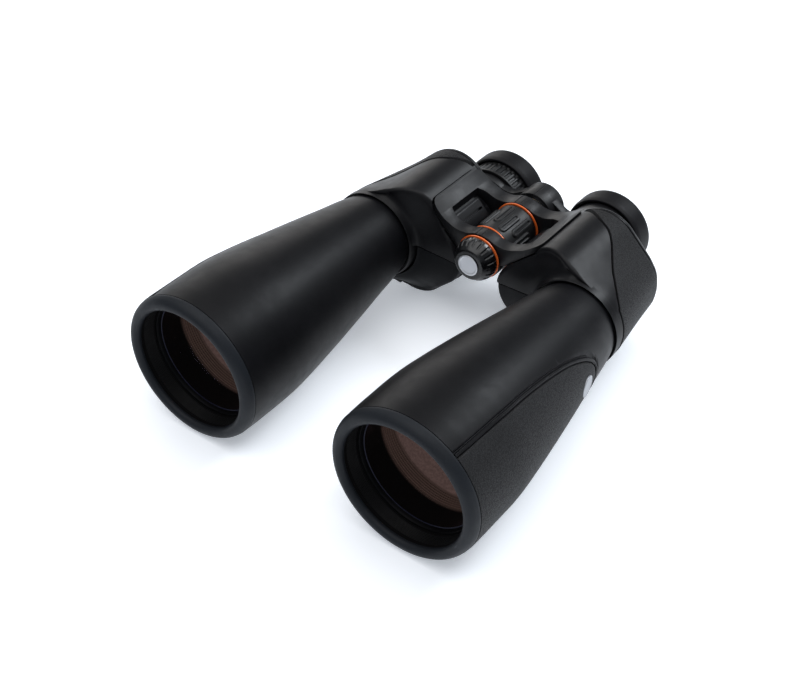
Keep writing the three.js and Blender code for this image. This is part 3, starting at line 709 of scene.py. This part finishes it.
def objective_tube():
    """The tube inside the armour: a thread in front of the lens, and ridges that stop stray light."""
    outside = [(37.0, 2.1), (37.0, 4.7), (40.7, 4.7), (40.7, 32), (35.9, 80), (22.6, 159.2), (22.6, 168)]
    ridges = np.arange(31.8, 41, 0.7)[::-1]
    wall = np.interp(ridges, (34, 80), (36.3, 34.1))
    ridged = np.column_stack([wall - 0.55 * (np.arange(len(ridges)) % 2), ridges])
    thread = np.arange(4, 11.5, 0.45)[::-1]
    threaded = np.column_stack([36.3 + 0.25 * (np.arange(len(thread)) % 2), thread])
    inside = [(20.8, 168), (20.8, 159.2), (34.1, 80), *ridged, (36.3, 31), *threaded, (36.3, 2.1)]
    return turned("tube", np.array([*outside, *inside]), OBJECTIVE, 192)


def baffle():
    """The blackened tube in front of the prisms, ridged inside too."""
    front, rear = ends("left_baffle_tube")
    outer = [(60, 36.3), (105, 30.0), (157, 21.2), (159.2, 20.6)]
    y = np.arange(front, min(rear, 157), 0.8)
    ridge = np.where(np.arange(len(y)) % 2 == 0, 0.0, 0.6)
    wall = smooth_through(y, outer)
    inside = np.column_stack([wall - 1 - ridge, y])
    outside = np.column_stack([wall[::8], y[::8]])[::-1]
    return turned("baffle", np.vstack([inside, outside]), OBJECTIVE, 96)


# ---------------------------------------------------------------- prism housings

HOUSING_CENTRE = np.array([52.0, -4.0])
HOUSING_HALF = 34.5
CORNER_RADII = (29, 23, 24, 23)                 # outer, top, inner, bottom
FRONT_NECK, REAR_NECK = 27.0, 18.5
HOUSING_FRONT, HOUSING_SPLIT, HOUSING_REAR = 166.5, 218.0, 221.5
ANGLES = full_turn(360)
# y of the front edge against the angle round the objective axis.
FRONT_EDGE = [(0, 161.5), (40, 161), (75, 160.8), (92, 161.2), (109, 163), (120, 166.4), (133, 169.6),
              (146, 170), (158, 167.4), (170, 165.4), (186, 166), (200, 167.6), (214, 170.2), (228, 174),
              (238, 175.6), (248, 175.4), (260, 172.6), (275, 167.8), (290, 164.4), (310, 161.8),
              (360, 161.5)]
# The collar's lip and hollow, as (radius, y).
COLLAR = [(26.9, 158.7), (27.1, 158.3), (27.4, 158.2), (27.7, 158.5), (27.9, 159.3), (28.3, 160.4),
          (28.9, 161.4), (29.9, 162.3), (31.4, 162.9)]


def housing_support(neck_radius, inset):
    """How far the section reaches in each direction from the objective axis."""
    directions = full_turn(720)
    normal = np.column_stack([np.cos(directions), np.sin(directions)])
    reach = np.full(len(directions), neck_radius - inset)
    for quarter, radius in enumerate(CORNER_RADII):
        diagonal = (HOUSING_HALF - radius) * math.sqrt(2)
        turn = quarter * math.pi / 2
        centre = HOUSING_CENTRE + diagonal * np.array([math.cos(turn), math.sin(turn)])
        reach = np.maximum(reach, (centre - np.array(OBJECTIVE)) @ normal.T + radius - inset)
    return directions, reach


def housing_reach(share, inset):
    """The section's outline as distances from the objective axis. share runs from front to rear."""
    directions, front = housing_support(FRONT_NECK, inset)
    rear = housing_support(REAR_NECK, inset)[1]
    support = (1 - share) * front + share * rear
    facing = np.cos(directions[None, :] - ANGLES[:, None])
    return np.where(facing > 0.15, support[None, :] / np.maximum(facing, 0.15), 1e9).min(1)


def housing_row(reach, y):
    return np.stack([OBJECTIVE[0] + reach * np.cos(ANGLES), y + 0 * reach,
                     OBJECTIVE[1] + reach * np.sin(ANGLES)], -1)


def share_at(y):
    return (y - HOUSING_FRONT) / (HOUSING_REAR - HOUSING_FRONT)


EDGE_ROUND = 2.6
NECK_BORE, COLLAR_REAR = 24.0, 160.4
FACE_START, FACE_FREE = 27.4, 31.4      # radii between which the collar's hollow meets the front face


def front_rows(inset, push=0.0):
    """From the collar's lip out across the front face and round its edge."""
    edge_y = smooth_through(np.degrees(ANGLES), FRONT_EDGE) + push
    full = housing_reach(0, inset)
    soft = np.clip((full - FACE_START + 0.1) * 0.5, 0.15, EDGE_ROUND)
    room = np.clip((full - soft - FACE_START) / (FACE_FREE - FACE_START), 0, 1)
    rows = []
    for radius, y in COLLAR:
        spread = np.maximum(radius - FACE_START, 0)
        rows.append((min(radius, FACE_START) + spread * room, y + push + 0 * full))
    last_radius, last_y = rows[-1]
    for t in np.linspace(0, 1, 9)[1:]:
        ease = t * t * (3 - 2 * t) * 0.4 + t * 0.6
        rows.append((last_radius + (full - soft - last_radius) * t, last_y + (edge_y - last_y) * ease))
    for turn in np.linspace(0, math.pi / 2, 7)[1:]:
        rows.append((full - soft * (1 - math.sin(turn)), edge_y + soft * (1 - math.cos(turn))))
    return rows


def housing_solid(name, inset=0.0, push=0.0, rear=HOUSING_SPLIT, hollow=True):
    """The housing as one closed shell, or filled to the objective axis."""
    rows = front_rows(inset, push)
    start = rows[-1][1]
    near, far = share_at(start), share_at(rear)
    low, high = housing_reach(0, inset), housing_reach(1, inset)
    for t in np.linspace(0, 1, 26)[1:]:
        share = np.clip(near + (far - near) * t, 0, 1)
        rows.append((low + (high - low) * share, start + (rear - start) * t))
    if hollow:
        wall = inset + 3
        inner = housing_reach(0, wall)
        rows.append((housing_reach(share_at(rear), wall), rear + 0 * inner))
        rows.append((inner, 186.0 + 0 * inner))
        rows.append((np.minimum(inner, NECK_BORE), 184.0 + 0 * inner))
        rows.append((NECK_BORE + 0 * inner, COLLAR_REAR + 0 * inner))
        rows.append((COLLAR[0][0] + 0 * inner, COLLAR_REAR + 0 * inner))
    else:
        rows = [(0 * start, rows[0][1]), *rows, (0 * start, rear + 0 * start)]
    return grid(name, np.array([housing_row(*row) for row in rows]), wrap_rows=hollow)


# The textured skin's front edge, as (distance down the upper outer face, y).
PANEL_SEAM = [(-34.4, 218), (-27, 209.5), (-19, 204.5), (-11.6, 197), (-0.7, 182.4), (8, 172.6),
              (14, 168.2), (20, 166.6), (60, 166.4)]
DIAGONAL = math.sqrt(0.5)
OUTER_FACE = ((DIAGONAL, 0, -DIAGONAL), (0, 1, 0), (DIAGONAL, 0, DIAGONAL),
              (HOUSING_CENTRE[0], 0, HOUSING_CENTRE[1]))


def outer_region(margin):
    seam = spline(PANEL_SEAM, 1.0) - margin
    outline = [(-34.4 - margin, HOUSING_REAR + 6), *seam, (60, HOUSING_REAR + 6)]
    return extruded("outer_region", outline, -12 - margin, 60, OUTER_FACE)


def lobe_region(margin):
    """Where the front cover is: the lower inner lobe, below a sloping joint, and on under the collar."""
    joint = spline([(6, -3), (13, -2), (30, 0.6), (48, 3)], 1.5)
    outline = [*(joint + (0, margin)), (60 + margin, 3 + margin), (60 + margin, -70), (6, -70)]
    block = extruded("lobe_region", outline, 150, 177 + margin, ACROSS)
    return combine(block, "DIFFERENCE", turned("cut", disc_profile(28.9 - margin, 140, 190), OBJECTIVE))


def window_pad():
    """The raised pad on the upper inner face beside the focus wheel, and the cutter of its groove."""
    face = HOUSING_HALF
    outline = rounded(box_outline(178.5, 203, -13, -1.2), 1.2)
    upper_inner = ((0, 1, 0), (DIAGONAL, 0, DIAGONAL), (-DIAGONAL, 0, DIAGONAL),
                   (HOUSING_CENTRE[0], 0, HOUSING_CENTRE[1]))
    pad = soften(extruded("pad", outline, face - 2, face + 2.4, upper_inner), 0.5)
    slot = rounded(box_outline(182.5, 201.5, -7.4, -6), 0.6, 6)
    return pad, extruded("slot", slot, face + 0.2, face + 9, upper_inner)


# ---------------------------------------------------------------- hinge frame

KNUCKLES = {
    "front": {"y": (168.7, 177.0), "bore": 6.4, "lug": 11.8, "skin_in": 12.1, "skin": 14.2},
    "rear": {"y": (209.0, 218.8), "bore": 8.6, "lug": 11.8, "skin_in": 12.1, "skin": 14.2},
    "hub": {"y": (224.5, 239.5), "bore": 9.9, "lug": 11.2, "skin_in": 11.6, "skin": 13.1},
}
SEAM = 0.15
FOLD_HALF_ANGLE = 25.5
FRAME_OUTER, WINDOW_OUTER = 37.2, 28.4
# The plate's upper and lower faces, as (x, z).
ARM_SURFACE = [(4, 23.5), (6.5, 22.6), (9.5, 21.4), (13.5, 20.8), (18, 21.2), (22.5, 22.8),
               (WINDOW_OUTER, 25.4), (FRAME_OUTER, 31.4)]
ARM_UNDERSIDE = [(FRAME_OUTER, 27.6), (WINDOW_OUTER, 20.6), (22.5, 15.2), (18, 10.6), (13.6, 8.6),
                 (5, 7.4)]


def frame_plan(margin):
    front, rear = KNUCKLES["front"]["y"], KNUCKLES["rear"]["y"]
    outer, window = FRAME_OUTER + margin, WINDOW_OUTER - margin
    return rounded([
        (SEAM, front[0] - margin, 0), (26, front[0] - margin, 5), (outer, front[0] + 3.0 - margin, 8),
        (outer, rear[1] - 4, 4), (34, rear[1] + margin, 3), (SEAM, rear[1] + margin, 0),
        (SEAM, rear[0] - margin, 0), (24, rear[0] - margin, 6), (window, rear[0] - 2.6 - margin, 0.8),
        (window, front[1] + 3.0 + margin, 0.8), (23, front[1] + margin, 6), (SEAM, front[1] + margin, 0),
    ], 1, 8)


def frame_seat(margin=1.1):
    """The recess that the plate lies in."""
    surface = spline(ARM_SURFACE, 1.0) + (0, 12)
    under = spline(ARM_UNDERSIDE, 1.0) - (0, margin)
    wide = np.vstack([surface, [(39, surface[-1][1]), (39, under[0][1])], under])
    block = extruded("seat", wide, 150, 240, ACROSS)
    return combine(block, "INTERSECT", extruded("plan", frame_plan(margin), -40, 90, PLAN))


def knuckled(web, knuckle, lug_at_front):
    """Joins a web to the hinge axis: a lug at one end, and a half skin over the other half's lug."""
    (y0, y1), gap = knuckle["y"], 0.15
    split = (y0 + y1) / 2
    own = (y0, split - gap) if lug_at_front else (split + gap, y1)
    other = (split - gap, y1 + 1) if lug_at_front else (y0 - 1, split + gap)
    axis, reach = HINGE[1], 60
    stop = math.tan(math.radians(90 - FOLD_HALF_ANGLE))
    corners = [(SEAM, axis), (SEAM, axis + reach), (reach, axis + reach), (reach, axis - reach * stop)]
    wedge = extruded("wedge", corners, y0 - 1, y1 + 1, ACROSS)
    skin = combine(turned("skin", disc_profile(knuckle["skin"], y0, y1), HINGE), "INTERSECT", wedge)
    combine(web, "UNION", skin)
    combine(web, "DIFFERENCE", turned("room", disc_profile(knuckle["skin_in"], *other), HINGE))
    combine(web, "UNION", turned("lug", disc_profile(knuckle["lug"], *own), HINGE))
    bore = turned("bore", disc_profile(knuckle["bore"], y0 - 5, y1 + 5), HINGE)
    return combine(web, "DIFFERENCE", bore)


def hinge_frame(lug_at_front):
    profile = np.vstack([spline(ARM_SURFACE, 0.8), spline(ARM_UNDERSIDE, 1.2)])
    plate = extruded("frame", profile, 160, 230, ACROSS)
    combine(plate, "INTERSECT", extruded("plan", frame_plan(0), -40, 90, PLAN))
    knuckled(plate, KNUCKLES["front"], lug_at_front)
    knuckled(plate, KNUCKLES["rear"], lug_at_front)
    return soften(clean(plate), 0.45, 2, 50)


PANEL_GAP = 0.9
PANEL_REAR = 217.4


def panel_pocket():
    """The bed of the textured skin, with a groove's width round it, beside the frame's seat."""
    core = housing_solid("core", 1.6, -6, 240, hollow=False)
    beside_frame = extruded("beside", box_outline(0, FRAME_OUTER + 1.6, -70, 70), 200, 240, ACROSS)
    return combine(outer_region(PANEL_GAP), "DIFFERENCE", core, beside_frame)


def in_joint_shade(at, normal):
    """The front cover's upper edge, deep in its joint with the housing, which is given painted shade."""
    return normal.z > 0.85 and at[2] > -6


def in_groove_shade(at, normal):
    """The steep wall beside the hinge plate, which hardly any light reaches, and which is given painted
    shade.
    """
    beside = FRAME_OUTER < at[0] < FRAME_OUTER + 1.3 and 170 < at[1] < 219
    return beside and at[2] > 15 and abs(normal.x) > 0.9


def make_housings():
    shell = housing_solid("housing")
    pad, slot = window_pad()
    combine(shell, "UNION", pad)
    combine(shell, "DIFFERENCE", slot, lobe_region(0.6), frame_seat(), panel_pocket())
    # painted shade on the wall beside the hinge plate
    paint(clean(shell), HOUSING, GROOVE_SHADE, in_groove_shade)
    stand_for_both(shell, "prism_housing", HOUSING, 40)

    cover = combine(housing_solid("cover", 0.7, 0.8), "INTERSECT", lobe_region(-0.8))
    # painted shade on the cover's upper edge, in its joint
    paint(clean(cover), COVER, GROOVE_SHADE, in_joint_shade)
    stand_for_both(cover, "front_prism_cover", COVER, 40)

    raised = housing_solid("raised", -0.35, -0.35, PANEL_REAR, hollow=False)
    panel = combine(outer_region(0), "INTERSECT", raised)
    beside_frame = extruded("beside", box_outline(0, FRAME_OUTER + 2, -70, 70), 200, 230, ACROSS)
    combine(panel, "DIFFERENCE", housing_solid("core", 1.2, -6, 240, hollow=False), beside_frame)
    stand_for_both(soften(clean(panel), 0.6, 3), "housing_grip_panel", TEXTURED, 40)
    stand_for_both(housing_rear_cover(), "rear_cover", HOUSING, 40)


def housing_rear_cover():
    """The plate that closes the housing, with a round hole for the eyepiece guide."""
    near, far = (housing_reach(share_at(y), 0.1) for y in (218.3, HOUSING_REAR))
    rows = [(0 * near, 218.4), (near - 0.5, 218.4), (near, 218.8), (far, 220.2),
            (far - 0.4, 221.0), (far - 1.2, HOUSING_REAR), (0 * far, HOUSING_REAR)]
    plate = grid("rear_cover", np.array([housing_row(*row) for row in rows]), wrap_rows=False)
    hole = turned("hole", disc_profile(17.3, 200, 240), EYEPIECE)
    combine(plate, "DIFFERENCE", frame_seat(), hole)
    return soften(clean(plate), 0.2)


# ---------------------------------------------------------------- focusing gear and tripod cap

WHEEL_Y = (177.4, 208.0)
WHEEL_RIBS, WHEEL_RADIUS = 13, 14.5


def wheel_relief(angles, radius, y):
    """Long raised pads along the wheel, staggered, each with a groove down its middle."""
    place = angles / (2 * math.pi) * WHEEL_RIBS
    number = np.floor(place).astype(int)
    across = (place - number - 0.5) * 2 * math.pi / WHEEL_RIBS * WHEEL_RADIUS
    low = WHEEL_Y[0] + np.where(number % 2 == 0, 3.6, 8.6)
    high = WHEEL_Y[1] - np.where(number % 2 == 0, 8.6, 3.6)
    round_end = np.hypot(across, np.maximum(np.maximum(low + 2.2 - y, y - high + 2.2), 0))
    pad = 1 - step(2.1, 2.7, round_end)
    groove = 1 - step(0.5, 0.95, round_end)
    return np.where(radius > 14, radius - 0.95 + 0.95 * pad - 0.85 * groove, radius)


CAP_FLUTES, CAP_FLUTE_DEPTH = 20, 0.55


def cap_relief(angles, radius, y):
    """Shallow thumb flutes round the cap."""
    wave = step(0.35, 0.9, np.cos(angles * CAP_FLUTES))
    along = step(158.8, 160.6, y) * (1 - step(165.4, 166.2, y))
    return np.where(radius > 9.5, radius - CAP_FLUTE_DEPTH * wave * along, radius)


def fine_flutes(count, depth, y0, y1, floor):
    """A relief of even flutes between y0 and y1, on radii above the floor."""
    def relief(angles, radius, y):
        wave = step(-0.25, 0.35, np.cos(angles * count))
        along = step(y0, y0 + 0.8, y) * (1 - step(y1 - 0.8, y1, y))
        return np.where(radius > floor, radius - depth * (1 - wave) * along, radius)
    return relief


def make_focusing():
    grip = subdivided(ring_profile(13.3, 14.8, WHEEL_Y[0] + 1.5, WHEEL_Y[1] - 1.5, 0.5), 0.35)
    stand_for(turned("grip", grip, HINGE, 520, wheel_relief), "focus_wheel_grip", RIBBED, 50)
    core = ring_profile(6.3, 13, WHEEL_Y[0], WHEEL_Y[1] - 0.3, 0.4)
    stand_for(turned("core", core, HINGE), "focus_wheel_core", BLACK_METAL)
    for node, y0 in (("focus_ring_front", WHEEL_Y[0]), ("focus_ring_rear", WHEEL_Y[1] - 0.8)):
        ring = ring_profile(13.3, 14.6, y0, y0 + 0.8)
        stand_for(turned(node, ring, HINGE, 192), node, ORANGE)

    cap = rounded([(0, 157, 0), (9.4, 157, 0.9), (11.2, 159.3, 1.4), (12.6, 161.6, 1.2),
                   (13.2, 163.6, 1.0), (13.3, 166.3, 0.4), (6.4, 166.3, 0.2), (6.4, 159.8, 0.2),
                   (0, 159.8, 0)], 0.3, 6)
    fluted = turned("cap", subdivided(cap, 0.25, closed=False), HINGE, 480, cap_relief)
    stand_for(fluted, "tripod_cap", GLOSS_BLACK, 65)
    cap_ring = turned("cap_ring", ring_profile(6.4, 13.8, 166.9, 167.8), HINGE, 192)
    stand_for(cap_ring, "tripod_cap_ring", ORANGE)
    disc = rounded([(0, 156.45, 0), (5.2, 156.45, 0.1), (5.5, 156.2, 0.15), (6.6, 156.25, 0.25),
                    (6.6, 156.7, 0.1), (0, 156.7, 0)], 0.1)
    stand_for(turned("disc", disc, HINGE), "tripod_cap_disc", SILVER)
    cap_end = rounded([(0, 238.8, 0), (9.3, 238.8, 0.2), (9.3, 239.8, 0.1), (10.8, 239.8, 0.2),
                       (10.8, 241, 0.6), (9.4, 241.6, 0.6), (0, 241.6, 0)], 0.2)
    stand_for(turned("hub_cap", cap_end, HINGE), "hub_end_cap", PLASTIC)


# ---------------------------------------------------------------- eyepieces and their bridge


def eyepiece_arm(lug_at_front):
    web = rounded([(5, 21.2, 1), (11, 17.5, 5), (19, 12.5, 6), (27, 13.6, 4), (34, 15.6, 0),
                   (34, -22, 0), (24, -17, 4), (15, -8, 4), (10, -3.5, 3), (6.8, -2, 1)], 2, 6)
    link = extruded("arm", web, 230, 235.4, ACROSS)
    combine(link, "UNION", turned("carrier", disc_profile(20.5, 230, 235.4), EYEPIECE))
    knuckled(link, KNUCKLES["hub"], lug_at_front)
    combine(link, "DIFFERENCE", turned("bore", disc_profile(14.9, 220, 240), EYEPIECE))
    return soften(clean(link), 0.4, 2, 50)


def make_eyepieces():
    guide = turned("guide", ring_profile(14.9, 17, 217.3, 225.2, 0.35), EYEPIECE)
    stand_for_both(guide, "eyepiece_guide", BLACK_METAL)
    ocular = rounded([(12, 217.8), (14.5, 217.8), (14.5, 238.3), (19.4, 238.3), (19.4, 247),
                      (17.4, 247), (17.4, 256.6), (13.2, 256.6), (13.2, 248.2), (12, 248.2)], 0.3)
    stand_for_both(turned("ocular", ocular, EYEPIECE), "ocular_body", BLACK_METAL)
    glass = lens("eye_lens", EYEPIECE, 12.9, 249.8, 251.8, 1.2, 1.6, 16)
    stand_for_both(glass, "eye_lens", EYE_GLASS, 60)
    cup = rounded([(24.7, 246, 0.6), (25.4, 248.5, 1.5), (25.4, 257.6, 1.5), (24.9, 259.6, 1.2),
                   (23.4, 260.5, 1.2), (18.2, 260.5, 1.2), (17.8, 249, 0.3), (19.2, 249, 0.3),
                   (19.2, 257, 0.3), (23.4, 257, 0.3), (23.4, 246, 0.5)], 0.4, 6)
    stand_for_both(turned("cup", cup, EYEPIECE, 192), "eyecup", CUP_RUBBER, 50)
    collar = subdivided(ring_profile(19.8, 22.4, 235.8, 247.4, 0.5), 0.5)
    stand_for(turned("collar", collar, EYEPIECE), "left_eyepiece_collar", PLASTIC)
    ribs = turned("dioptre", collar, EYEPIECE, 540, fine_flutes(40, 0.9, 237.2, 246.4, 21))
    stand_for(moved_across(ribs), "right_dioptre_ring", RIBBED, 50)


def make_halves_of_hinge():
    for make, name in ((hinge_frame, "hinge_frame"), (eyepiece_arm, "eyepiece_arm")):
        stand_for(make(True), "left_" + name, FRAME, 40)
        stand_for(moved_across(make(False)), "right_" + name, FRAME, 40)


def refinish_hidden_nodes():
    """CAD nodes that stay as they are get a full finish too."""
    finishes = {"hinge_axle": STEEL, "focus_screw": STEEL, "focus_nut": BRASS, "tripod_socket": BRASS}
    for side in ("left_", "right_"):
        finishes |= {side + "prism_shelf": BLACK_METAL, side + "front_prism": PRISM_GLASS,
                     side + "rear_prism": PRISM_GLASS, side + "cup_sleeve": BLACK_METAL}
    for node, material in finishes.items():
        for holder in frame["nodes"][node].material_slots:
            holder.material = material


# ---------------------------------------------------------------- studio


def make_floor():
    half, z = 3.0, -0.0002
    corners = [(-half, -half, z), (half, -half, z), (half, half, z), (-half, half, z)]
    mesh = bpy.data.meshes.new("floor")
    mesh.from_pydata(corners, [], [(0, 1, 2, 3)])
    nodes = Nodes("white_floor")
    nodes.feed("Base Color", nodes.mix(nodes.noise(400, 2), (0.88, 0.9, 0.93), (0.92, 0.93, 0.95)))
    nodes.feed("Roughness", nodes.remap(nodes.noise(60, 3), 0.3, 0.7, 0.65, 0.75))
    nodes.feed("Specular IOR Level", 0.2)
    nodes.feed("Emission Color", (0.88, 0.93, 1.0, 1))
    nodes.feed("Emission Strength", 0.38)
    mesh.materials.append(nodes.material)
    floor = new_object("floor", mesh)


def softbox(name, place, target, width, height, power, colour):
    data = bpy.data.lights.new(name, "AREA")
    data.shape = "RECTANGLE"
    data.size, data.size_y = width, height
    data.energy = power
    data.color = colour
    lamp = new_object(name, data)
    lamp.location = place
    lamp.rotation_mode = "QUATERNION"
    lamp.rotation_quaternion = (Vector(target) - Vector(place)).to_track_quat("-Z", "Y")


def make_studio():
    world = bpy.data.worlds.new("studio")
    world.use_nodes = True
    sky = world.node_tree.nodes["Background"]
    sky.inputs["Color"].default_value = (0.86, 0.92, 1.0, 1)
    sky.inputs["Strength"].default_value = 0.24
    bpy.context.scene.world = world
    ceiling = bpy.data.lights.new("ceiling", "SUN")
    ceiling.energy = 2.1
    ceiling.angle = math.radians(75)
    new_object("ceiling", ceiling).rotation_euler = (math.radians(6), math.radians(-6), 0)
    softbox("back_left", (-1.15, 0.95, 0.5), (0, 0, 0.04), 0.9, 0.7, 4.2, (1.0, 0.97, 0.94))
    softbox("back_right", (0.45, 1.0, 1.05), (0, 0, 0.04), 0.5, 0.5, 11.5, (0.9, 0.95, 1.0))
    softbox("front", (0.8, -1.3, 0.5), (0, -0.05, 0.04), 0.9, 0.6, 1.5, (0.85, 0.92, 1.0))


def make_camera():
    azimuth, elevation, roll = (math.radians(a) for a in (36.555, 39.697, 0.87))
    distance = 0.72418
    target = Vector((0, -0.04266, 0.03982))
    level_part = math.cos(elevation)
    back = Vector((math.sin(azimuth) * level_part, -math.cos(azimuth) * level_part, math.sin(elevation)))
    level = (-back).cross(Vector((0, 0, 1))).normalized()
    upright = level.cross(-back)
    right = math.cos(roll) * level + math.sin(roll) * upright
    up = -math.sin(roll) * level + math.cos(roll) * upright
    data = bpy.data.cameras.new("camera")
    data.lens = 60.97
    data.sensor_width = 36
    camera = new_object("camera", data)
    turn = Matrix((right, up, back)).transposed().to_4x4()
    camera.matrix_world = Matrix.Translation(target + distance * back) @ turn
    bpy.context.scene.camera = camera


make_camera()
make_barrels()
make_housings()
make_halves_of_hinge()
make_focusing()
make_eyepieces()
refinish_hidden_nodes()
make_floor()
make_studio()
bpy.context.scene.view_settings.view_transform = "Standard"
